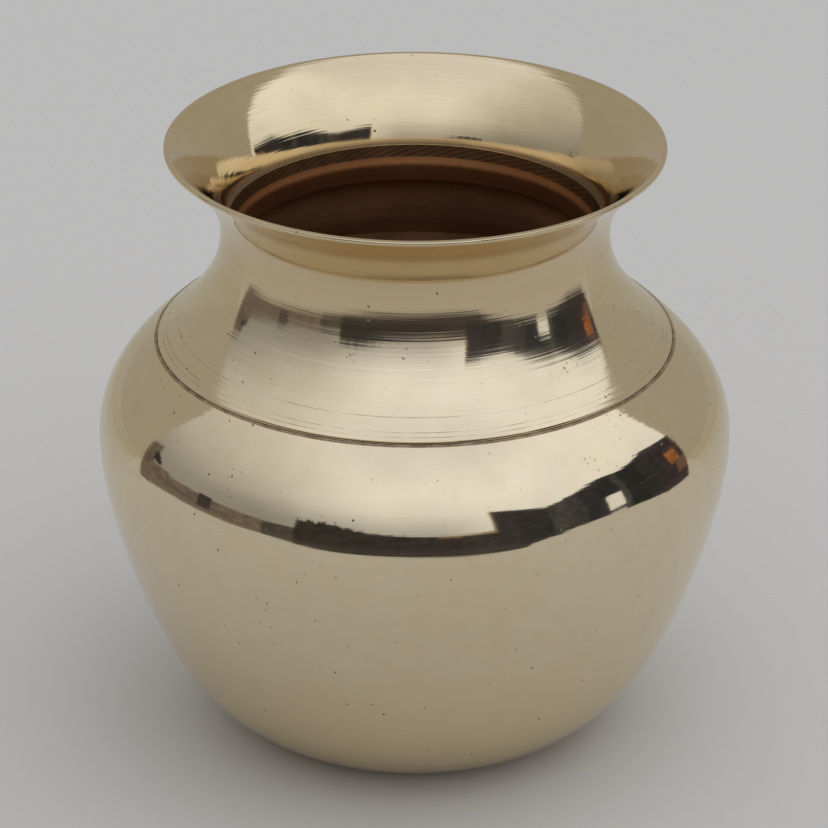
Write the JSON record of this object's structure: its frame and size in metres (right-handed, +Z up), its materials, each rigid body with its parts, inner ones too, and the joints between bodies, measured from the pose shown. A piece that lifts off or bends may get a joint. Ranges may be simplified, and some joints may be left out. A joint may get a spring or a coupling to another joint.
{
  "type": "lota",
  "caption": "Round-bellied brass water pot with a turned-in shoulder, a narrow throat, a flared mouth and a flat base, made of turned castings brazed together.",
  "frame": {"origin": "centre of the flat base, on the surface that the pot stands on", "axes": "+Z up along the axis of revolution, towards the mouth; the pot is round, so X and Y are free and -Y faces the picture's viewer"},
  "size_m": [0.1134, 0.1134, 0.111],
  "materials": {
    "bowl_brass": "turned and polished, with fine pits, hairline scratches and cloudy handling marks",
    "seam_filler": "dull filler, dark with polish residue, with small voids",
    "shoulder_brass": "polished, with fine turning lines and small pits",
    "neck_filler": "filler dressed flush and polished with the wall",
    "flare_brass": "polished inside and outside, with concentric turning lines"
  },
  "bodies": {
    "root": {"lower_bowl": "bowl_brass", "shoulder_braze": "seam_filler", "shoulder": "shoulder_brass", "neck_braze": "neck_filler", "mouth_flare": "flare_brass"}
  },
  "joints": []
}
